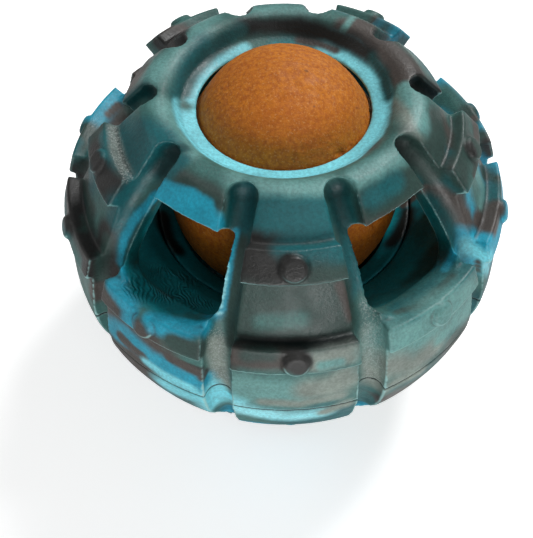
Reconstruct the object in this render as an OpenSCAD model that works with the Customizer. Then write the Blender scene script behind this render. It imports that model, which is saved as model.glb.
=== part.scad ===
// Treat dispensing ball: two bonded rubber shells, a plug-in tread lid and a moulded treat inside.
// The origin is the centre of the resting face, with +Z up and -Y towards the viewer.

/* [Ball] */
// Width across the shells at the seam
ball_d = 100; // [92:1:110]
// Height of the seam above the resting face
seam_height = 44; // [43:0.5:47]
// Number of tread panels, of which every other one is open
panels = 10; // [8:2:12]
// Small edge break on both sides of the seam
seam_edge = 0.35; // [0.2:0.05:0.6]

/* [Treat hole] */
// Width of the hole that the dog licks through
hole_d = 35.4; // [34:0.1:37]
// Width of the sunk ring round the hole
recess_d = 41.6; // [40:0.2:43]
// Thickness of the lip at the edge of the hole
lip_edge = 0.6; // [0.4:0.1:1.2]

/* [Grooves] */
// Width of a tread groove
groove_w = 5.7; // [4.5:0.1:6.5]
// Depth of a tread groove at the seam
groove_depth = 3.8; // [2.5:0.1:4.5]

/* [Windows] */
// Distance from the middle of a groove to the edge of a window
window_inset = 1.6; // [0.8:0.1:2.2]
// Radius of a window's upper corners
window_top_corner = 1.4; // [1:0.1:1.6]
// Radius of its lower corners
window_corner = 5; // [3:0.5:7]

/* [Studs] */
// Width of a tread stud
stud_d = 5; // [3.5:0.1:6]
// Height of a tread stud
stud_h = 1.1; // [0.8:0.1:2]

/* [Lid] */
// How far the lid's brim stands out past the neck
brim_step = 1.55; // [1:0.05:2.5]
// Width of the lid's rounded side, from the brim in to the flat face
lid_side = 11.3; // [10:0.1:12.5]
// Width of the flat ring that the ball stands on
foot_ring = 6.5; // [5:0.1:8]
// Depth of the shallow dish inside that ring
dish_depth = 2.5; // [1.5:0.1:3]
// Thickness of the lid between the dish and the hollow
lid_floor = 4; // [3:0.1:5]
// Depth of the neck rim below the seam
neck_depth = 27.6; // [26.5:0.1:28.5]
// Wall of the neck at the brim
neck_wall = 2.95; // [2.5:0.05:3.5]
// How far the plug narrows up to its mouth, on the radius
plug_taper = 5.7; // [5:0.1:6.5]
// Wall of the plug
plug_wall = 4.6; // [4:0.1:5]
// Height that the plug's mouth rises from its seat to its outer edge
mouth_rise = 2.8; // [2:0.1:3.6]

/* [Treat] */
// Width of the treat's body
treat_d = 52.4; // [51.4:0.1:53]
// Width of the treat's domed top, if it were a full ball
treat_top_d = 38; // [36:0.2:40]
// Height of the treat
treat_h = 59.2; // [57.6:0.2:60.6]

/* [Fits] */
// Gap round the plug
plug_gap = 0.3; // [0.25:0.05:0.5]
// Gap round the treat where it is held
treat_gap = 0.4; // [0.3:0.05:0.8]
// Gap between the brim and the neck rim
brim_gap = 0.4; // [0.3:0.05:0.8]

/* [Hidden] */
fine = 96;
small = 32;
ball_r = ball_d / 2;
hole_r = hole_d / 2;
recess_r = recess_d / 2;
pitch = 360 / panels;
cut = ball_r;

// Outlines as shares of the ball's radius, measured from the axis and from the seam.
recess_z_share = 0.731;
hole_z_share = 0.712;
crest_shares = [[0.452, 0.778], [0.475, 0.795], [0.505, 0.802], [0.54, 0.8], [0.566, 0.789], [0.582, 0.772]];
facet_foot_share = [0.673, 0.681];
block_shares = [[0.719, 0.709], [0.806, 0.616]];
block_foot_share = [0.762, 0.58];
sill_share = [0.88, 0.368];
band_shares = [[0.938, 0.39], [0.98, 0.28]];
side_shares = [[0.953, 0.268], [0.974, 0.172], [0.991, 0.088]];
belly_shares = [[0.997, -0.07], [0.986, -0.15], [0.966, -0.235], [0.94, -0.3], [0.9, -0.38]];
shoulder_shares = [[0.868, -0.4], [0.846, -0.448], [0.81, -0.51]];
neck_rim_share = 0.765;
neck_r = neck_rim_share * ball_r;
roof_shares = [[0.42, 0.66], [0.5, 0.632], [0.6, 0.55], [0.684, 0.452], [0.748, 0.362], [0.79, 0.31]];
funnel_share = [0.798, 0.286];
function grown(list, size) = [for (p = list) p * size];

// Groove bottom: an arc in each meridian plane, with its centre near the middle of the ball.
groove_r = groove_w / 2;
arc_x = 0.03 * ball_r;
arc_z = -0.04 * ball_r;
groove_floor = ball_r - groove_depth - arc_x;
groove_run = groove_floor + groove_r;
notch_angle = 57.2;
shoulder_angle = -19;

// Lid outline, from the brim to the flat face.
lid_r = neck_r + brim_step;
lid_face_r = lid_r - lid_side;
dish_r = lid_face_r - foot_ring;
face_z = -seam_height;
brim_z = -neck_depth - brim_gap;
lid_drop = brim_z - face_z;
skirt_shares = [[0, 0.03], [0.16, 0.45]];
lid_block_shares = [[0.07, 0.49], [0.48, 0.79]];
lid_facet_share = [0.59, 0.745];
function on_lid(share) = [lid_r - share[0] * lid_side, brim_z - share[1] * lid_drop];
lid_arc_x = lid_r - 1.91 * lid_side;
lid_arc_z = brim_z + 0.22 * lid_drop;
lid_groove_floor = 1.72 * lid_side;
lid_groove_run = lid_groove_floor + groove_r;
lid_notch_angle = -61;
brim_angle = 8;

// Treat and plug: the treat hangs under the lip and stands on the mouth of the plug.
// Its outline is two arcs, for the body and the domed top, with the line that touches both.
treat_r = treat_d / 2;
treat_top_r = treat_top_d / 2;
treat_rise = treat_h - treat_r - treat_top_r;
treat_slope = asin((treat_r - treat_top_r) / treat_rise);
held_r = treat_r + treat_gap;
lip_z = hole_z_share * ball_r - lip_edge;
treat_z = lip_z - (held_r - hole_r * cos(treat_slope)) / sin(treat_slope);
plug_root_r = neck_r - neck_wall - plug_gap;
plug_mouth_r = plug_root_r - plug_taper;
mouth_r = plug_mouth_r - plug_wall;
seat_z = treat_z - sqrt(held_r * held_r - mouth_r * mouth_r);
mouth_z = seat_z + mouth_rise;
plug_slope = plug_taper / (mouth_z - brim_z);
function plug_r(z) = plug_mouth_r + plug_slope * (mouth_z - z);
hollow_z = face_z + dish_depth + lid_floor;

// Points of an arc about [0, z], from angle a to angle b.
function arc(r, z, a, b, n) = [for (k = [0:n]) let (t = a + (b - a) * k / n) [r * cos(t), z + r * sin(t)]];

// Corner i of a closed outline, turned into an arc of radius r with n steps; a rounded outline has a radius a corner.
function unit(v) = v / norm(v);
function corner(list, i, r, n) =
    let (c = list[i], a = unit(list[(i + len(list) - 1) % len(list)] - c))
    let (b = unit(list[(i + 1) % len(list)] - c), half = acos(a * b) / 2)
    let (m = c + unit(a + b) * r / sin(half), from = c + a * r / tan(half) - m)
    let (way = sign(a[0] * b[1] - a[1] * b[0]), turn = -way * (180 - 2 * half))
    [for (k = [0:n]) m + spun(from, turn * k / n)];
function spun(v, t) = [v[0] * cos(t) - v[1] * sin(t), v[0] * sin(t) + v[1] * cos(t)];
function rounded(list, r, n) = [for (i = [0:len(list) - 1]) each corner(list, i, r[i], n)];

// A round-bottomed channel along an arc from angle a up to angle b, with a round end at each listed angle.
module channel(run, a, b, ends) {
    rotate([90, 0, 0]) {
        rotate([0, 0, a])
            rotate_extrude(angle = b - a, $fn = fine) {
                translate([run, 0])
                    circle(r = groove_r, $fn = small);
                translate([run, -groove_r])
                    square([cut, groove_w]);
            }
        for (e = ends)
            rotate([0, 0, e])
                translate([run, 0, 0])
                    channel_end(groove_r);
    }
}

module channel_end(r) {
    sphere(r = r, $fn = small);
    rotate([0, 90, 0])
        cylinder(r = r, h = cut, $fn = small);
}

module grooves() {
    for (i = [0:panels - 1])
        rotate([0, 0, -90 + pitch * (i + 0.5)])
            translate([arc_x, 0, arc_z])
                channel(groove_run, shoulder_angle, notch_angle, [shoulder_angle]);
}

// The round upper ends of the grooves, cut down into the crown.
module notches() {
    for (i = [0:panels - 1])
        rotate([0, 0, -90 + pitch * (i + 0.5)])
            translate([arc_x, 0, arc_z])
                rotate([0, -notch_angle, 0])
                    translate([groove_run, 0, 0])
                        channel_end(groove_r * 1.04);
}

// One window: a rounded trapezium cut square to the panel, between the middles of two grooves.
module window() {
    eave = facet_foot_share * ball_r;
    sill = sill_share * ball_r;
    run = norm(sill - eave);
    tilt = atan2(eave[1] - sill[1], sill[0] - eave[0]);
    top_half = eave[0] * sin(pitch / 2) - window_inset;
    low_half = sill[0] * sin(pitch / 2) - window_inset;
    over = run * 0.04;
    shape = [[-over, -top_half], [run, -low_half], [run, low_half], [-over, top_half]];
    radii = [window_top_corner, window_corner, window_corner, window_top_corner];
    translate([eave[0], 0, eave[1]])
        rotate([0, tilt, 0])
            translate([0, 0, -run * 0.75])
                linear_extrude(height = run * 1.5)
                    polygon(rounded(shape, radii, 5));
}

module windows() {
    for (i = [0:2:panels - 2])
        rotate([0, 0, -90 + pitch * (i + 1)])
            window();
}

// One stud at the middle of the face from p to q, standing square to it.
module stud(p, q) {
    middle = (p + q) / 2;
    lean = atan2(q[0] - p[0], p[1] - q[1]);
    translate([middle[0], 0, middle[1]])
        rotate([0, 90 - lean, 0])
            rotate_extrude($fn = small)
                polygon([[0, -stud_h], [stud_d / 2, -stud_h], [stud_d / 2, stud_h * 0.6],
                    [stud_d * 0.4, stud_h], [0, stud_h]]);
}

module upper_shell() {
    roof = grown(roof_shares, ball_r);
    funnel = funnel_share * ball_r;
    outline = concat(
        [[hole_r, lip_z], [hole_r, hole_z_share * ball_r], [recess_r, recess_z_share * ball_r]],
        grown(crest_shares, ball_r), [facet_foot_share * ball_r],
        grown(block_shares, ball_r), [block_foot_share * ball_r, sill_share * ball_r],
        grown(band_shares, ball_r), grown(side_shares, ball_r),
        [[ball_r, seam_edge], [ball_r - seam_edge, 0], [plug_r(0) + plug_gap, 0]],
        [[plug_r(mouth_z) + plug_gap, mouth_z], funnel],
        [for (i = [len(roof) - 1:-1:0]) roof[i]]);
    color([0.12, 0.42, 0.44])
        translate([0, 0, seam_height]) {
            difference() {
                rotate_extrude($fn = fine)
                    polygon(outline);
                grooves();
                notches();
                windows();
            }
            for (i = [0:2:panels - 2])
                rotate([0, 0, -90 + pitch * i])
                    stud(block_shares[0] * ball_r, block_shares[1] * ball_r);
            for (i = [0:panels - 1])
                rotate([0, 0, -90 + pitch * i])
                    stud(band_shares[0] * ball_r, band_shares[1] * ball_r);
        }
}

module lower_shell() {
    outline = concat(
        [[plug_r(0) + plug_gap, 0], [ball_r - seam_edge, 0], [ball_r, -seam_edge]],
        grown(belly_shares, ball_r), grown(shoulder_shares, ball_r),
        [[neck_r, -neck_depth], [plug_r(-neck_depth) + plug_gap, -neck_depth]]);
    color([0.10, 0.36, 0.38])
        translate([0, 0, seam_height])
            difference() {
                rotate_extrude($fn = fine)
                    polygon(outline);
                grooves();
            }
}

module lid() {
    skirt = [for (p = skirt_shares) on_lid(p)];
    block = [for (p = lid_block_shares) on_lid(p)];
    outline = [[0, face_z + dish_depth], [dish_r, face_z + dish_depth], [dish_r, face_z],
        [lid_face_r, face_z], on_lid(lid_facet_share), block[1], block[0], skirt[1], skirt[0],
        [lid_r - seam_edge, brim_z], [plug_root_r, brim_z], [plug_mouth_r, mouth_z], [mouth_r, seat_z],
        [plug_root_r - plug_wall, brim_z], [dish_r + plug_wall, hollow_z + plug_wall],
        [dish_r, hollow_z], [0, hollow_z]];
    color([0.08, 0.33, 0.35])
        translate([0, 0, seam_height]) {
            difference() {
                rotate_extrude($fn = fine)
                    polygon(outline);
                for (i = [0:panels - 1])
                    rotate([0, 0, -90 + pitch * (i + 0.5)])
                        translate([lid_arc_x, 0, lid_arc_z])
                            channel(lid_groove_run, lid_notch_angle, brim_angle, [lid_notch_angle]);
            }
            for (i = [0:panels - 1])
                rotate([0, 0, -90 + pitch * i])
                    stud(block[0], block[1]);
        }
}

module treat_ball() {
    color([0.72, 0.40, 0.16])
        translate([0, 0, seam_height + treat_z])
            rotate_extrude($fn = fine)
                polygon(concat(arc(treat_r, 0, -90, treat_slope, 24),
                    arc(treat_top_r, treat_rise, treat_slope, 90, 12)));
}

upper_shell();
lower_shell();
lid();
treat_ball();
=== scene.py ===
"""Looks of the treat dispensing ball. Metres, in the part's own frame: z is 0 at the resting face."""
import math

import bmesh
import bpy
import numpy as np
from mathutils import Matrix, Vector, noise
from mathutils.bvhtree import BVHTree


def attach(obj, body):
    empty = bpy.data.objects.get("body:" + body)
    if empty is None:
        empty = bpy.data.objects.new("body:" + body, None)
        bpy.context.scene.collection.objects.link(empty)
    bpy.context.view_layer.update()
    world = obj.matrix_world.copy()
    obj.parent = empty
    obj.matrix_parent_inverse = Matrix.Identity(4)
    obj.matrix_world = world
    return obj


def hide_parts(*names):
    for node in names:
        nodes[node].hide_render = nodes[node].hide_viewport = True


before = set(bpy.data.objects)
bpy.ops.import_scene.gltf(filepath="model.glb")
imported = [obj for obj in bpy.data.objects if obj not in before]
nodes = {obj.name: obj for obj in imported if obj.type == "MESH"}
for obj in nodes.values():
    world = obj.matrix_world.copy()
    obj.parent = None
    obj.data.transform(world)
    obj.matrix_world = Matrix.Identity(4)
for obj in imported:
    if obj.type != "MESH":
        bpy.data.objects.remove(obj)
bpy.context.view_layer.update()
scene = bpy.context.scene

MM = 1000                   # millimetres in a metre
R = 0.05                    # radius of the ball at the seam
SEAM = 0.044                # height of the seam above the resting face

# Remeshing: size of a voxel, rounds of smoothing and how strong each is.
VOXEL = 0.0003
ROUNDS = 14
SMOOTHING = 0.5
WELD = 1e-6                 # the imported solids' corners are joined within this distance
LID_VOXEL = VOXEL * 1.2
TREAT_VOXEL, TREAT_ROUNDS = VOXEL * 1.5, 2


# Camera: fitted to the photograph. FOCAL, PPX and PPY are in its pixels, and the principal point
# is off the picture's middle. TURN swings the eye towards the viewer's left.
ELEV, TURN, DIST = math.radians(52.15), math.radians(-2.66), 3.35 * R
FOCAL, PPX, PPY, WIDE, TALL = 690.0, 284.0, 212.1, 533.0, 538.0
SENSOR = 36.0
NEAR_CLIP, FAR_CLIP = 0.005, 10

back = Vector((math.cos(ELEV) * math.sin(TURN), -math.cos(ELEV) * math.cos(TURN), math.sin(ELEV)))
right = Vector((math.cos(TURN), math.sin(TURN), 0))
up = back.cross(right)
eye = Vector((0, 0, SEAM)) + back * DIST


def placed(o, place, way):
    """Link an object that looks along `way` from `place`."""
    scene.collection.objects.link(o)
    o.location = place
    o.rotation_mode = "QUATERNION"
    o.rotation_quaternion = way.to_track_quat("-Z", "Y")
    return o


cam_data = bpy.data.cameras.new("camera")
cam_data.sensor_width = SENSOR
cam_data.lens = FOCAL * SENSOR / TALL
cam_data.shift_x = (WIDE / 2 - PPX) / TALL
cam_data.shift_y = (PPY - TALL / 2) / TALL
cam_data.clip_start, cam_data.clip_end = NEAR_CLIP, FAR_CLIP
scene.camera = placed(bpy.data.objects.new("camera", cam_data), eye, -back)


# Pieces that stand for the CAD nodes: the same solids with moulded, rounded edges
def softened(node, name, voxel, rounds):
    mesh = nodes[node].data.copy()
    bm = bmesh.new()
    bm.from_mesh(mesh)
    bmesh.ops.remove_doubles(bm, verts=bm.verts, dist=WELD)
    bm.to_mesh(mesh)
    bm.free()
    mesh.materials.clear()
    o = bpy.data.objects.new(name, mesh)
    scene.collection.objects.link(o)
    remesh = o.modifiers.new("remesh", "REMESH")
    remesh.mode, remesh.voxel_size, remesh.adaptivity = "VOXEL", voxel, 0.0
    smooth = o.modifiers.new("smooth", "SMOOTH")
    smooth.factor, smooth.iterations = SMOOTHING, rounds
    depsgraph = bpy.context.evaluated_depsgraph_get()
    o.data = bpy.data.meshes.new_from_object(o.evaluated_get(depsgraph), depsgraph=depsgraph)
    o.modifiers.clear()
    for p in o.data.polygons:
        p.use_smooth = True
    return o


def places_and_normals(mesh):
    count = len(mesh.vertices)
    places, normals = np.empty(count * 3), np.empty(count * 3)
    mesh.vertices.foreach_get("co", places)
    mesh.vertices.foreach_get("normal", normals)
    return places.reshape(-1, 3), normals.reshape(-1, 3)


upper = softened("upper_shell", "upper_moulding", VOXEL, ROUNDS)
lower = softened("lower_shell", "lower_moulding", VOXEL, ROUNDS)
lid = softened("lid", "tread_lid", LID_VOXEL, ROUNDS)
treat = softened("treat_ball", "baked_treat", TREAT_VOXEL, TREAT_ROUNDS)

# The treat's crust. Sizes are waves per millimetre, depths are in metres along the normal.
GRAIN_SIZE, GRAIN_DEPTH, GRAIN_SHAPE = 0.62, 0.00004, (0.8, 2.2, 3)
PIT_SIZE, PIT_DEPTH, PIT_ONSET, PIT_SHIFT = 0.30, 0.0011, 0.46, Vector((3.1, 0.4, 7.7))
SWELL_SIZE, SWELL_DEPTH = 0.07, 0.00014
CRUST_INSET = 0.00012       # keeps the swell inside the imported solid


def bake_crust(o):
    """Grain, pores and a slightly uneven swell on the treat's own surface."""
    places, normals = places_and_normals(o.data)
    push = np.empty(len(places))
    for i, (x, y, z) in enumerate(places):
        p = Vector((x, y, z)) * MM
        grain = noise.fractal(p * GRAIN_SIZE, *GRAIN_SHAPE)
        pit = max(0.0, noise.noise(p * PIT_SIZE + PIT_SHIFT) - PIT_ONSET)
        swell = noise.noise(p * SWELL_SIZE)
        push[i] = GRAIN_DEPTH * grain - PIT_DEPTH * pit + SWELL_DEPTH * swell - CRUST_INSET
    o.data.vertices.foreach_set("co", (places + normals * push[:, None]).ravel())
    o.data.update()


bake_crust(treat)


# Colours of the marbled rubber, as they look in even light; the palest and darkest also serve as painted
# light and painted shade
def linear(v):
    """One 0 to 255 channel of a screen colour as a linear value."""
    return v / 255 / 12.92 if v <= 10 else ((v / 255 + 0.055) / 1.055) ** 2.4


def tone(r, g, b):
    return tuple(linear(v) for v in (r, g, b))


SAGE = tone(58, 104, 99)
MIST = tone(98, 148, 144)
TEAL = tone(20, 92, 97)
DEEP = tone(2, 70, 72)
HOLLOW = tone(0, 122, 132)
INK = tone(4, 14, 14)
CYAN = tone(26, 148, 174)
ICE = tone(122, 210, 222)
BROWN = tone(70, 64, 60)
UMBER = tone(38, 38, 37)
SLATE = tone(42, 66, 61)
SAND = tone(124, 136, 128)
MOSS = tone(60, 76, 72)
DUST = tone(92, 106, 101)
FOAM = tone(142, 214, 222)
# pale colour of the painted highlight on the standing edges
EDGE_SHEEN = tone(148, 194, 192)
FLECK = (0.50, 0.55, 0.53)
# and those of the treat
CRUMB, CRUST, GLAZE = tone(164, 84, 6), tone(204, 122, 20), tone(172, 88, 12)
FLOUR, PORE = tone(222, 176, 116), tone(90, 46, 16)

# Swirls of compound in the order in which they lie over each other: colour, half width in mm, edge softness,
# and the line that the swirl follows, given in the photograph's frame and cast on to the ball. Some swirls
# are painted light or painted shade, marked where they stand.
SWIRLS = [
    # broad grounds under the rest
    (SAGE, 8.0, 1.5, ((384, 335), (410, 340), (440, 318), (462, 298))),
    (SAGE, 8.0, 1.5, ((384, 362), (402, 370), (425, 352))),
    (SLATE, 8.0, 1.4, ((244, 268), (290, 270), (340, 266))),
    (SLATE, 8.0, 1.4, ((244, 310), (290, 315), (344, 308))),
    (SAGE, 7.0, 1.4, ((240, 385), (290, 390), (348, 382))),
    # crown
    (SAGE, 5.5, 1.0, ((160, 75), (150, 115), (150, 145), (190, 170), (250, 190), (300, 195),
                      (360, 180), (400, 150), (415, 115), (415, 90), (400, 60), (375, 35),
                      (340, 25), (300, 15), (250, 15), (215, 28), (185, 50))),
    (MIST, 2.6, 1.3, ((250, 14), (275, 10), (300, 13))),
    (MIST, 3.0, 1.4, ((205, 20), (190, 45), (165, 65), (150, 75))),
    (MIST, 2.4, 1.3, ((165, 105), (175, 130), (190, 150))),
    (TEAL, 4.0, 1.0, ((130, 150), (150, 160), (160, 140), (135, 135))),
    (TEAL, 3.0, 1.3, ((205, 46), (195, 60), (186, 80), (182, 100))),
    (MOSS, 1.7, 1.2, ((172, 172), (190, 180), (212, 192), (226, 203))),
    (SLATE, 1.4, 1.0, ((160, 184), (185, 184), (200, 195), (218, 206))),
    (MIST, 3.2, 1.3, ((240, 188), (270, 191), (300, 192), (322, 188))),
    (CYAN, 2.0, 0.8, ((161, 191), (174, 194), (190, 199))),
    (CYAN, 1.6, 0.6, ((154, 199), (160, 196), (170, 203))),
    (CYAN, 3.0, 0.6, ((162, 194), (176, 204), (196, 214), (212, 226), (218, 236))),
    (CYAN, 2.0, 0.6, ((160, 190), (190, 198), (205, 208))),
    (TEAL, 3.6, 0.8, ((262, 215), (290, 219), (322, 216))),
    (TEAL, 3.0, 1.0, ((262, 232), (290, 234), (322, 230))),
    (MIST, 2.6, 1.1, ((362, 178), (380, 168), (395, 158))),
    (SLATE, 3.0, 0.8, ((368, 205), (390, 195), (412, 182))),
    (TEAL, 2.0, 1.4, ((372, 198), (396, 182))),
    (BROWN, 4.0, 0.8, ((372, 45), (395, 60), (412, 72), (385, 68))),
    (BROWN, 3.0, 0.8, ((345, 28), (358, 25), (375, 35))),
    (SAND, 2.4, 1.3, ((402, 100), (412, 120), (415, 135))),
    (MIST, 2.2, 1.0, ((405, 90), (420, 108), (425, 125))),
    (SLATE, 2.6, 1.0, ((436, 118), (440, 135), (436, 150))),
    (SLATE, 3.0, 1.1, ((402, 142), (420, 155), (432, 172))),
    (TEAL, 1.6, 1.3, ((400, 42), (420, 52), (432, 70))),
    (MIST, 0.8, 1.5, ((353, 17), (349, 22), (345, 27), (341, 34), (337, 41))),
    # sunk ring, its far wall and the lip: the pale lines are painted light on the upward faces of the ring
    # and lip, the near-black band and deep lines are painted shade on the far wall
    (ICE, 3.0, 0.6, ((186, 110), (190, 130), (205, 150), (230, 166), (260, 174), (290, 178),
                     (320, 173), (348, 160), (368, 140), (378, 115), (377, 95), (368, 72),
                     (352, 55), (330, 44))),
    (SAGE, 1.7, 1.3, ((186, 105), (195, 80), (212, 62), (235, 48), (262, 42))),
    (ICE, 1.3, 1.4, ((192, 100), (203, 78), (222, 60), (245, 48))),
    (BROWN, 1.1, 1.3, ((300, 40), (318, 43), (335, 50))),
    (INK, 2.4, 1.3, ((246, 26), (270, 25), (300, 27), (328, 34), (352, 44), (368, 55))),
    (DEEP, 1.7, 1.4, ((184, 92), (191, 74), (205, 56), (224, 40), (240, 30))),
    (DEEP, 1.4, 1.4, ((372, 58), (384, 76), (389, 96))),
    # notches and grooves: the dark swirls in them are painted shade, in the notches and on the grooves'
    # shaded walls
    (DEEP, 1.8, 1.1, ((128, 100), (135, 92), (148, 90))),
    (UMBER, 2.2, 1.0, ((158, 42), (170, 38), (182, 36))),
    (DEEP, 1.6, 1.3, ((160, 168), (168, 155), (182, 148))),
    (TEAL, 1.5, 1.3, ((170, 172), (182, 160))),
    (DEEP, 1.8, 1.1, ((236, 190), (234, 210), (232, 230))),
    (TEAL, 1.5, 1.4, ((251, 186), (250, 205), (246, 228))),
    (SLATE, 2.2, 1.1, ((238, 246), (236, 275), (232, 300), (226, 320))),
    (SAGE, 2.4, 1.3, ((216, 322), (216, 334))),
    (SAND, 2.4, 1.3, ((215, 344), (216, 350), (220, 370), (224, 383))),
    (SLATE, 1.2, 1.3, ((232, 320), (231, 345), (232, 370))),
    (DEEP, 2.4, 1.1, ((338, 190), (343, 210), (347, 225))),
    (TEAL, 2.0, 1.3, ((350, 245), (354, 270), (358, 290))),
    (SAGE, 2.0, 1.4, ((364, 300), (368, 320))),
    (SAND, 2.6, 1.3, ((372, 335), (374, 355), (374, 375), (378, 385))),
    (INK, 2.2, 1.0, ((415, 82), (428, 88), (440, 94))),
    # pale painted light low on the side, where light comes up from below
    (ICE, 2.4, 1.0, ((205, 384), (220, 392), (236, 398))),
    # left side, upper tread
    (CYAN, 3.0, 1.0, ((118, 88), (104, 102), (95, 116))),
    (SLATE, 3.0, 1.1, ((84, 130), (76, 145))),
    (BROWN, 1.0, 1.1, ((118, 106), (108, 114))),
    (SLATE, 3.2, 1.0, ((98, 130), (96, 150))),
    (UMBER, 2.4, 1.2, ((94, 150), (98, 166))),
    (TEAL, 1.2, 1.5, ((102, 135), (105, 150), (110, 166))),
    (DUST, 1.3, 1.2, ((113, 128), (115, 148), (121, 165), (128, 178))),
    (UMBER, 3.2, 0.8, ((103, 180), (115, 188), (112, 200))),
    (UMBER, 1.3, 0.8, ((96, 158), (99, 163))),
    (UMBER, 3.0, 1.2, ((78, 172), (76, 200), (80, 228), (86, 250))),
    (SLATE, 2.0, 1.1, ((86, 165), (86, 190), (92, 210), (84, 225))),
    (UMBER, 1.9, 1.0, ((68, 180), (68, 205), (72, 225))),
    # inside the left window and, in one line, the right one; the dark lines are painted shade under the
    # treat and on the far inner wall
    (HOLLOW, 3.4, 0.8, ((136, 226), (132, 250), (132, 272), (146, 292), (165, 306), (190, 306), (206, 290))),
    (DEEP, 2.6, 1.2, ((140, 220), (135, 238), (134, 256))),
    (INK, 1.8, 1.3, ((163, 216), (165, 228), (170, 240), (178, 250))),
    (INK, 2.2, 1.3, ((408, 212), (405, 222), (400, 232), (392, 242))),
    # left side, round the window and down to the shoulder
    (CYAN, 0.9, 1.3, ((150, 202), (134, 220), (124, 240), (120, 262), (126, 280))),
    (CYAN, 1.6, 1.3, ((150, 318), (175, 322), (200, 322), (214, 314))),
    (TEAL, 1.2, 1.3, ((190, 316), (210, 322))),
    (UMBER, 2.2, 1.0, ((88, 248), (90, 262), (90, 272))),
    (TEAL, 1.5, 1.1, ((80, 130), (74, 150))),
    (TEAL, 2.4, 1.3, ((134, 185), (122, 200), (112, 220))),
    (UMBER, 2.6, 1.2, ((104, 232), (100, 255), (98, 275))),
    (SLATE, 1.6, 1.1, ((106, 240), (102, 262), (104, 280))),
    (BROWN, 2.2, 1.0, ((98, 290), (104, 302), (112, 308))),
    (CYAN, 2.0, 1.0, ((116, 285), (122, 300), (132, 312), (128, 325))),
    (CYAN, 3.4, 0.8, ((112, 328), (130, 340), (150, 358), (180, 378), (200, 386))),
    (BROWN, 1.7, 0.8, ((122, 338), (132, 348), (142, 356))),
    (CYAN, 2.2, 1.0, ((158, 326), (180, 330), (200, 328))),
    (SLATE, 2.4, 0.8, ((176, 344), (190, 350), (202, 352))),
    # pale painted light low on the side, where light comes up from below
    (ICE, 1.5, 1.2, ((146, 362), (165, 376), (190, 388))),
    (UMBER, 0.9, 1.1, ((172, 360), (190, 366), (206, 372))),
    (BROWN, 1.4, 1.0, ((170, 358), (188, 368), (204, 376))),
    # more pale painted light down to the seam, lit from below
    (ICE, 2.2, 1.5, ((136, 372), (146, 380), (156, 386), (166, 391))),
    (ICE, 3.2, 1.5, ((166, 386), (176, 391), (186, 395), (196, 398), (206, 400), (214, 402))),
    # rim of the left window's pier, with a painted highlight along its edge
    (FOAM, 0.6, 1.2, ((233, 234), (229, 250), (227, 264), (225, 280), (222, 298), (219, 312))),
    (CYAN, 0.8, 1.2, ((236, 232), (231, 250), (228, 270), (225, 290), (222, 308))),
    (FOAM, 0.5, 1.0, ((231, 240), (228, 256), (226, 272), (223, 290), (220, 306))),
    # front panel
    (UMBER, 4.2, 0.6, ((250, 250), (262, 262), (254, 274), (274, 270), (272, 256))),
    (SLATE, 3.2, 1.0, ((300, 262), (322, 260), (338, 262))),
    (TEAL, 2.4, 1.4, ((288, 248), (310, 250), (338, 248))),
    (UMBER, 2.6, 0.5, ((291, 266), (296, 270))),
    (SLATE, 4.2, 1.0, ((250, 305), (290, 310), (332, 304))),
    (SLATE, 3.6, 1.2, ((250, 326), (290, 330), (340, 322))),
    (SLATE, 3.6, 1.2, ((250, 292), (290, 296), (340, 290))),
    (SAGE, 1.6, 1.5, ((262, 322), (300, 320))),
    (BROWN, 0.9, 1.3, ((340, 286), (345, 300), (350, 318))),
    # painted shade in the step along the top of the lower band
    (INK, 1.5, 1.0, ((242, 344), (290, 346), (330, 343), (352, 339))),
    (BROWN, 2.4, 1.0, ((238, 358), (262, 362), (280, 362))),
    (SLATE, 1.6, 1.3, ((248, 356), (270, 356))),
    (SAND, 2.2, 1.1, ((316, 362), (335, 358), (352, 354))),
    (MIST, 1.0, 1.4, ((322, 366), (340, 362))),
    (UMBER, 2.6, 0.5, ((294, 362), (300, 365))),
    (MIST, 4.2, 1.0, ((245, 388), (275, 394), (300, 394))),
    (SAND, 3.4, 1.3, ((312, 390), (335, 386), (345, 378))),
    (SAND, 1.2, 1.5, ((262, 402), (300, 404), (340, 396))),
    # painted light along the lowest edge, lit from below
    (FOAM, 2.8, 1.5, ((236, 408), (250, 411), (262, 414), (275, 416), (290, 417), (304, 416), (318, 414))),
    (SAND, 1.8, 1.3, ((325, 412), (345, 404))),
    # right side
    (BROWN, 1.2, 0.8, ((404, 204), (416, 196), (426, 190))),
    (SAGE, 3.4, 1.1, ((442, 96), (450, 100), (458, 108), (466, 118))),
    (SLATE, 3.0, 1.1, ((470, 112), (478, 128), (484, 146))),
    (SAGE, 3.2, 1.2, ((468, 164), (474, 180), (480, 200), (484, 212))),
    (SLATE, 2.4, 1.0, ((462, 120), (464, 150), (462, 180))),
    (BROWN, 0.9, 1.3, ((474, 118), (478, 150), (475, 175))),
    (SLATE, 3.2, 1.3, ((476, 150), (480, 160), (483, 172))),
    (SLATE, 1.6, 1.3, ((498, 180), (500, 190))),
    (MIST, 2.0, 1.4, ((478, 176), (484, 190), (482, 206))),
    (TEAL, 2.0, 1.3, ((494, 190), (496, 206))),
    (UMBER, 1.7, 1.0, ((488, 142), (492, 152))),
    (UMBER, 1.3, 1.0, ((470, 146), (474, 152))),
    (BROWN, 3.4, 0.7, ((438, 200), (452, 218), (462, 230), (450, 205))),
    (BROWN, 2.6, 0.8, ((478, 222), (492, 225), (496, 208))),
    (CYAN, 2.6, 1.0, ((456, 238), (470, 242), (488, 252), (494, 262))),
    # painted highlight on the right side
    (ICE, 2.0, 1.5, ((464, 246), (474, 250), (482, 256), (486, 264), (487, 272))),
    (SAGE, 2.6, 1.3, ((476, 270), (470, 292), (480, 285))),
    (BROWN, 0.9, 1.3, ((478, 262), (476, 285), (470, 305))),
    # painted shade inside the right window, along its sill
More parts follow.
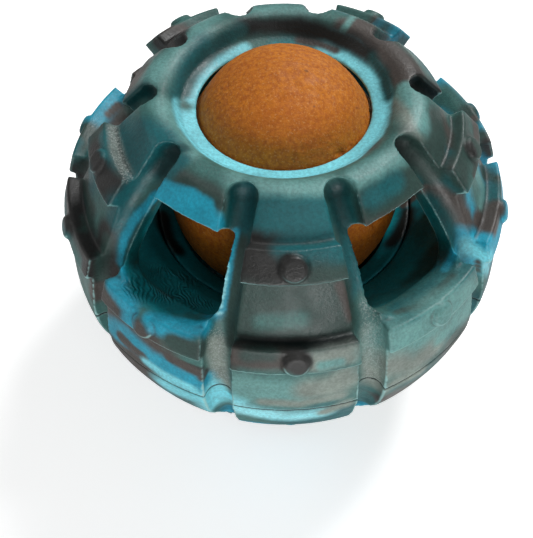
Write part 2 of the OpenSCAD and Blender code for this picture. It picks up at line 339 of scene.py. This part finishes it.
    (DEEP, 3.2, 1.0, ((376, 300), (402, 292), (426, 272), (438, 248), (440, 226), (430, 208))),
    (TEAL, 2.6, 1.1, ((396, 322), (425, 310), (450, 290), (468, 268))),
    # painted shade on the right window's inner wall
    (DEEP, 2.0, 1.1, ((424, 200), (436, 214), (446, 232), (446, 248))),
    (TEAL, 2.4, 1.1, ((454, 262), (440, 280), (420, 298), (400, 308))),
    (CYAN, 1.0, 1.4, ((456, 250), (446, 268))),
    (UMBER, 0.9, 1.4, ((398, 312), (418, 306), (436, 292), (452, 276))),
    (MIST, 2.6, 1.0, ((394, 342), (420, 334), (448, 318), (470, 294))),
    (TEAL, 1.5, 1.0, ((440, 308), (448, 306))),
    (MIST, 6.0, 1.2, ((392, 352), (420, 345), (446, 318), (470, 300))),
    (SAND, 3.6, 1.4, ((392, 366), (412, 366), (432, 350))),
    (MIST, 2.0, 1.3, ((440, 338), (456, 322), (464, 312))),
    (SAND, 2.0, 1.3, ((395, 384), (420, 372))),
]

# Marks with their own finish, as half width in mm and line: matt, sandy faces in the grooves,
# and the drawn skin inside the left window
GRIT = ((1.9, ((214, 335), (216, 355), (222, 378))),
        (2.2, ((370, 305), (373, 335), (375, 375))),
        (1.2, ((113, 128), (118, 158), (127, 178))))
DRAWN = ((4.2, ((148, 288), (168, 290), (190, 300))),
         (3.0, ((165, 276), (185, 282))))

CAST_STEP = 4.0             # pixels between the rays along a line
FAR_AWAY = 1e9
BOX_REACH, SWIRL_REACH = 2.2, 3     # half widths beyond which a line is left out
# Swirls fade out on faces turned away from the camera: there are none where the normal's share along `back`
# is under -SEEN_PAST, and they are whole from SEEN_FADE above that
SEEN_PAST, SEEN_FADE = 0.45, 0.25
# Ripples in mm with their seeds, and how far they push the edges of the swirls and marks
WAVE, FINE = (3.2, 5), (0.9, 9)
WAVE_SHARE, FINE_SHARE, MARK_WAVE, MARK_SOFT = 0.20, 0.12, 0.25, 0.8
THIN_PAINT = 1e-6
# Of the edges that stand out, those that face down and outward get a strong painted highlight, the rest only
# a little
SHEEN_LEAST, SHEEN_BELOW, SHEEN_FADE = 0.30, 0.40, 0.45


def cast_line(trees, line):
    """Points in metres where the rays through a line of the picture first meet the ball."""
    hits = []
    for (x0, y0), (x1, y1) in zip(line, line[1:]):
        n = max(1, round(math.hypot(x1 - x0, y1 - y0) / CAST_STEP))
        for i in range(n + 1):
            x, y = x0 + (x1 - x0) * i / n, y0 + (y1 - y0) * i / n
            aim = (right * (x - PPX) / FOCAL - up * (y - PPY) / FOCAL - back).normalized()
            found = [h for h in (t.ray_cast(eye, aim) for t in trees) if h[0] is not None]
            if found:
                hits.append(min(found, key=lambda h: h[3])[0])
    return np.array([tuple(h) for h in hits]) if hits else np.empty((0, 3))


def ripple(p, size, seed):
    """Cheap smooth noise of about -1 to 1 over an array of points."""
    octaves, waves, finer, fainter, whole = 3, 4, 1.9, 1.7, 4.6
    rng = np.random.default_rng(seed)
    total = np.zeros(len(p))
    for octave in range(octaves):
        for _ in range(waves):
            k = rng.normal(size=3) * (finer ** octave) / size
            total += np.sin(p @ k + rng.uniform(0, 6.28)) / (fainter ** octave)
    return total / whole


def ease(x):
    x = np.clip(x, 0, 1)
    return x * x * (3 - 2 * x)


def reach(p, line, width):
    """Distance from each point to the line's points, only where it can matter."""
    far = np.full(len(p), FAR_AWAY)
    if not len(line):
        return far
    low, high = line.min(0) - BOX_REACH * width, line.max(0) + BOX_REACH * width
    near = np.all((p > low) & (p < high), axis=1)
    q = p[near]
    best = np.full(len(q), FAR_AWAY)
    for h in line:
        best = np.minimum(best, ((q - h) ** 2).sum(1))
    far[near] = np.sqrt(best)
    return far


def tinted(p, lines, seen, wave, fine):
    """Colour and cover of the swirls at each point, each laid over the ones before it."""
    tint = np.zeros((len(p), 4))
    for (colour, width, soft, _), line in zip(SWIRLS, lines):
        d = reach(p, line * MM, width)
        hit = d < SWIRL_REACH * width
        if not hit.any():
            continue
        edge = width * (1 + WAVE_SHARE * wave[hit]) + FINE_SHARE * fine[hit]
        a = (ease((edge - d[hit]) / (width * soft) + 0.5) * seen[hit])[:, None]
        old = tint[hit, 3:4]
        now = a + old * (1 - a)
        sum_of = np.array(colour) * a + tint[hit, :3] * old * (1 - a)
        tint[hit, :3] = np.where(now > THIN_PAINT, sum_of / np.maximum(now, THIN_PAINT), 0)
        tint[hit, 3:4] = now
    return tint


def marked(p, group, lines, seen, wave):
    """Strength of one group of marks at each point."""
    m = np.zeros(len(p))
    for (width, _), line in zip(group, lines):
        d = reach(p, line * MM, width)
        on = ease((width * (1 + MARK_WAVE * wave) - d) / (width * MARK_SOFT) + 0.5)
        m = np.maximum(m, on * (d < SWIRL_REACH * width))
    return m * seen


def bulging(mesh, p, normals):
    """How far each point stands out from, or lies back behind, its neighbours."""
    count = len(p)
    e = np.empty(len(mesh.edges) * 2, dtype=np.int64)
    mesh.edges.foreach_get("vertices", e)
    e = e.reshape(-1, 2)
    load = np.bincount(e.ravel(), minlength=count).astype(float)

    def mean(values):
        ahead = np.bincount(e[:, 0], values[e[:, 1]], count)
        behind = np.bincount(e[:, 1], values[e[:, 0]], count)
        return (ahead + behind) / load

    centre = np.stack([mean(p[:, k]) for k in range(3)], 1)
    bulge = ((p - centre) * normals).sum(1) / (VOXEL * MM) ** 2
    for _ in range(2):
        bulge = 0.5 * bulge + 0.5 * mean(bulge)
    # standing edges that face down and outward take more of the painted highlight
    sheen = SHEEN_LEAST + (1 - SHEEN_LEAST) * ease((SHEEN_BELOW - normals[:, 2]) / SHEEN_FADE)
    return np.where(bulge > 0, bulge * sheen, bulge)


def paint(o, swirl_lines, grit_lines, drawn_lines):
    """Write the swirls, marks and standing edges into attributes that the material reads."""
    mesh = o.data
    places, normals = places_and_normals(mesh)
    p = places * MM
    seen = ease((normals @ np.array(tuple(back)) + SEEN_PAST) / SEEN_FADE)
    wave, fine = ripple(p, *WAVE), ripple(p, *FINE)
    tint = mesh.attributes.new("tint", "FLOAT_COLOR", "POINT")
    tint.data.foreach_set("color", tinted(p, swirl_lines, seen, wave, fine).astype(np.float32).ravel())
    for name, values in (("bulge", bulging(mesh, p, normals)),
                         ("grit", marked(p, GRIT, grit_lines, seen, wave)),
                         ("drawn", marked(p, DRAWN, drawn_lines, seen, wave))):
        a = mesh.attributes.new(name, "FLOAT", "POINT")
        a.data.foreach_set("value", values.astype(np.float32))


depsgraph = bpy.context.evaluated_depsgraph_get()
trees = [BVHTree.FromObject(nodes[n], depsgraph) for n in ("upper_shell", "lower_shell", "lid")]
swirl_lines = [cast_line(trees, line) for _, _, _, line in SWIRLS]
grit_lines, drawn_lines = ([cast_line(trees, line) for _, line in group] for group in (GRIT, DRAWN))
for o in (upper, lower, lid):
    paint(o, swirl_lines, grit_lines, drawn_lines)


# Materials
def tree(name):
    m = bpy.data.materials.new(name)
    m.use_nodes = True
    nt = m.node_tree
    nt.nodes.clear()
    out = nt.nodes.new("ShaderNodeOutputMaterial")
    bsdf = nt.nodes.new("ShaderNodeBsdfPrincipled")
    nt.links.new(bsdf.outputs[0], out.inputs[0])
    return m, nt, bsdf


class Net:
    """Short names for the node kinds that the materials use."""
    def __init__(self, nt):
        self.nt = nt
        self.at = nt.nodes.new("ShaderNodeTexCoord").outputs["Object"]

    def node(self, kind, **sets):
        n = self.nt.nodes.new(kind)
        for k, v in sets.items():
            setattr(n, k, v)
        return n

    def put(self, socket, value):
        """Link the socket to another one, or give it a constant. None leaves it as it is."""
        if hasattr(value, "links"):
            self.nt.links.new(value, socket)
        elif value is not None:
            socket.default_value = value

    def painted(self, name, output):
        return self.node("ShaderNodeAttribute", attribute_name=name).outputs[output]

    def noise(self, scale, detail=4.0, rough=0.5, warp=0.0, at=None, colour=False):
        n = self.node("ShaderNodeTexNoise")
        self.put(n.inputs["Vector"], at or self.at)
        n.inputs["Scale"].default_value = scale
        n.inputs["Detail"].default_value = detail
        n.inputs["Roughness"].default_value = rough
        n.inputs["Distortion"].default_value = warp
        return n.outputs["Color" if colour else "Fac"]

    def math(self, op, a, b=None):
        n = self.node("ShaderNodeMath", operation=op)
        self.put(n.inputs[0], a)
        self.put(n.inputs[1], b)
        return n.outputs[0]

    def times(self, a, b):
        return self.math("MULTIPLY", a, b)

    def vec(self, op, a, b=None, scale=None):
        n = self.node("ShaderNodeVectorMath", operation=op)
        self.put(n.inputs[0], a)
        self.put(n.inputs[1], b)
        if scale is not None:
            self.put(n.inputs["Scale"], scale)
        return n.outputs["Value" if op in ("DOT_PRODUCT", "LENGTH") else "Vector"]

    def ramp(self, value, lo, hi, a=0.0, b=1.0):
        n = self.node("ShaderNodeMapRange", interpolation_type="SMOOTHSTEP")
        for i, v in enumerate((value, lo, hi, a, b)):
            self.put(n.inputs[i], v)
        return n.outputs[0]

    def mix(self, share, a, b):
        n = self.node("ShaderNodeMix", data_type="RGBA")
        self.put(n.inputs["Factor"], share)
        self.put(n.inputs[6], a if hasattr(a, "links") else (*a, 1.0))
        self.put(n.inputs[7], b if hasattr(b, "links") else (*b, 1.0))
        return n.outputs[2]

    def bump(self, height, strength, distance, normal=None):
        n = self.node("ShaderNodeBump")
        n.inputs["Strength"].default_value = strength
        n.inputs["Distance"].default_value = distance
        self.put(n.inputs["Height"], height)
        self.put(n.inputs["Normal"], normal)
        return n.outputs[0]


# Veins of the sides that the photograph doesn't show: colour, noise scale, detail, roughness and warp,
# shift of the noise, and the range over which the vein sets in
VEINS = (
    (BROWN, (24, 4, 0.5, 0.8), (0.3, 0.1, 0.7), (0.53, 0.58)),
    (CYAN, (20, 4, 0.5, 0.8), (0.9, 0.5, 0.2), (0.57, 0.63)),
    (SLATE, (15, 4, 0.5, 0.5), (1.7, 0.9, 0.4), (0.55, 0.62)),
)
VEIN_SWAY = 0.030
INNER_WALL = (0.0435, 0.0405)       # distances from the middle of the ball, in metres
OUTER_SKIN = (0.044, 0.046)
SEAM_LINE, SEAM_SHARE = (0.00042, 0.00016), 0.85
DRAWN_WAY, DRAWN_PITCH, DRAWN_SWERVE = (1.0, 0.35, 0.2), 8200, 0.010


def rubber():
    m, nt, bsdf = tree("marbled_rubber")
    n = Net(nt)
    sway = n.vec("SUBTRACT", n.noise(22, 3, 0.5, colour=True), (0.5, 0.5, 0.5))
    at = n.vec("ADD", n.at, n.vec("SCALE", sway, scale=VEIN_SWAY))
    base = n.mix(n.ramp(n.noise(17, 3, 0.45, 0.4, at), 0.40, 0.56), SAGE, TEAL)
    for colour, kind, shift, onset in VEINS:
        base = n.mix(n.ramp(n.noise(*kind, n.vec("ADD", at, shift)), *onset), base, colour)
    # the hollow has a colour of its own, deeper than the outside
    off = n.vec("LENGTH", n.vec("SUBTRACT", n.at, (0.0, 0.0, SEAM)))
    base = n.mix(n.ramp(off, *INNER_WALL), base, HOLLOW)
    base = n.mix(n.painted("tint", "Alpha"), base, n.painted("tint", "Color"))
    # cloudy bloom, fine mottle, painted shade in the creases and a painted highlight on the standing edges
    cloud = n.ramp(n.noise(90, 4, 0.6, 0.3), 0.3, 0.7, 0.80, 1.16)
    speck = n.ramp(n.noise(1500, 3, 0.65), 0.3, 0.7, 0.84, 1.16)
    bulge = n.painted("bulge", "Fac")
    shade = n.times(n.times(cloud, speck), n.ramp(bulge, -0.02, -0.20, 1.0, 0.50))
    # painted highlight on the standing edges, strongest where they face down and outward
    edge_sheen = n.times(n.ramp(bulge, 0.07, 0.22), n.ramp(n.noise(70, 3, 0.5), 0.35, 0.65, 0.30, 0.90))
    base = n.mix(edge_sheen, n.vec("SCALE", base, scale=shade), EDGE_SHEEN)
    # dark line of the seam, on the outside only
    height = n.node("ShaderNodeSeparateXYZ")
    n.put(height.inputs[0], n.at)
    gap = n.math("ABSOLUTE", n.math("SUBTRACT", height.outputs[2], SEAM))
    line = n.times(n.ramp(gap, *SEAM_LINE), n.ramp(off, *OUTER_SKIN))
    base = n.mix(n.times(line, SEAM_SHARE), base, INK)
    # pale flecks on the sandy faces
    grit = n.painted("grit", "Fac")
    flecks = n.times(n.ramp(n.noise(3200, 2, 0.6), 0.48, 0.66), grit)
    base = n.mix(n.times(flecks, 0.35), base, FLECK)
    n.put(bsdf.inputs["Base Color"], base)
    n.put(bsdf.inputs["Roughness"], n.ramp(n.noise(220, 3, 0.5), 0.3, 0.7, 0.40, 0.56))
    bsdf.inputs["IOR"].default_value = 1.45
    # surface: fine grain, coarser on the sandy faces, drawn lines inside the left window
    grain = n.bump(n.noise(1700, 3, 0.65), 0.55, 0.00018)
    grain = n.bump(n.times(n.noise(1500, 2, 0.6), grit), 0.9, 0.00025, grain)
    swerve = n.vec("ADD", n.at, n.vec("SCALE", n.noise(70, 3, 0.6, colour=True), scale=DRAWN_SWERVE))
    folds = n.math("SINE", n.times(n.vec("DOT_PRODUCT", swerve, DRAWN_WAY), DRAWN_PITCH))
    folds = n.times(n.times(folds, n.ramp(n.noise(120, 3, 0.5), 0.35, 0.6)), n.painted("drawn", "Fac"))
    n.put(bsdf.inputs["Normal"], n.bump(folds, 0.9, 0.00024, grain))
    return m


def baked():
    m, nt, bsdf = tree("baked_mix")
    n = Net(nt)
    base = n.mix(n.ramp(n.noise(1100, 4, 0.7), 0.30, 0.70), CRUMB, CRUST)
    base = n.mix(n.ramp(n.noise(60, 3, 0.5), 0.40, 0.75, 0.0, 0.5), base, GLAZE)
    base = n.mix(n.times(n.ramp(n.noise(2600, 2, 0.5), 0.58, 0.68), 0.25), base, FLOUR)
    base = n.mix(n.times(n.ramp(n.noise(520, 2, 0.5), 0.71, 0.77), 0.6), base, PORE)
    n.put(bsdf.inputs["Base Color"], base)
    n.put(bsdf.inputs["Roughness"], n.ramp(n.noise(500, 3, 0.6), 0.3, 0.7, 0.56, 0.78))
    bsdf.inputs["Specular IOR Level"].default_value = 0.40
    rough = n.bump(n.noise(700, 4, 0.65), 0.6, 0.0004)
    n.put(bsdf.inputs["Normal"], n.bump(n.noise(2200, 3, 0.7), 0.6, 0.00016, rough))
    return m


rubber_look, treat_look = rubber(), baked()
for o, look, body, node, slot in (
        (upper, rubber_look, "shell", "upper_shell", "upper_rubber"),
        (lower, rubber_look, "shell", "lower_shell", "lower_rubber"),
        (lid, rubber_look, "lid", "lid", "lid_rubber"),
        (treat, treat_look, "treat", "treat_ball", "treat")):
    o.data.materials.clear()
    o.data.materials.append(look)
    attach(o, body)
    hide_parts(node)


# Floor and light
FLOOR_SIZE, FLOOR_WHITE, FLOOR_ROUGH = 6, (0.90, 0.90, 0.90, 1), 0.9
FLOOR_LIFT = 0.55           # what the camera sees on top of the floor's own light
AIR_STRENGTH = 0.22         # what the world gives the object
WORLD_WHITE = (1, 1, 1, 1)


def camera_only(nt, usual, seen, end):
    """Show `seen` to the camera, and `usual` to every other ray."""
    pick = nt.nodes.new("ShaderNodeMixShader")
    nt.links.new(nt.nodes.new("ShaderNodeLightPath").outputs["Is Camera Ray"], pick.inputs[0])
    nt.links.new(usual.outputs[0], pick.inputs[1])
    nt.links.new(seen.outputs[0], pick.inputs[2])
    nt.links.new(pick.outputs[0], end.inputs[0])


bpy.ops.mesh.primitive_plane_add(size=FLOOR_SIZE, location=(0, 0, 0))
floor = bpy.context.object
floor.name = "floor"
# the floor looks white to the camera, while its shadow stays and it throws no more light on the object
white, nt, bsdf = tree("floor_white")
bsdf.inputs["Base Color"].default_value = FLOOR_WHITE
bsdf.inputs["Roughness"].default_value = FLOOR_ROUGH
lift = nt.nodes.new("ShaderNodeEmission")
lift.inputs["Strength"].default_value = FLOOR_LIFT
both = nt.nodes.new("ShaderNodeAddShader")
nt.links.new(bsdf.outputs[0], both.inputs[0])
nt.links.new(lift.outputs[0], both.inputs[1])
camera_only(nt, bsdf, both, nt.nodes["Material Output"])
floor.data.materials.append(white)

# Disk lamps: name, place, height on the upright axis that each aims at, width and watts
for name, place, aim, size, watts in (
        ("key", (0.28, 0.30, 0.60), 0.05, 0.22, 3.5),
        ("front", (0.16, -0.42, 0.55), 0.05, 0.25, 0.35),
        ("side", (-0.55, 0.10, 0.45), 0.05, 0.40, 0.5),
        ("low", (0.04, -0.55, 0.035), 0.02, 0.30, 2.2)):
    lamp = bpy.data.lights.new(name, "AREA")
    lamp.shape, lamp.size, lamp.energy = "DISK", size, watts
    placed(bpy.data.objects.new(name, lamp), place, Vector((0, 0, aim)) - Vector(place))

world = bpy.data.worlds.new("world")
scene.world = world
world.use_nodes = True
air = world.node_tree.nodes["Background"]
sky = world.node_tree.nodes.new("ShaderNodeBackground")
for ground, strength in ((air, AIR_STRENGTH), (sky, 1.0)):
    ground.inputs["Color"].default_value = WORLD_WHITE
    ground.inputs["Strength"].default_value = strength
camera_only(world.node_tree, air, sky, world.node_tree.nodes["World Output"])
scene.view_settings.view_transform = "Standard"
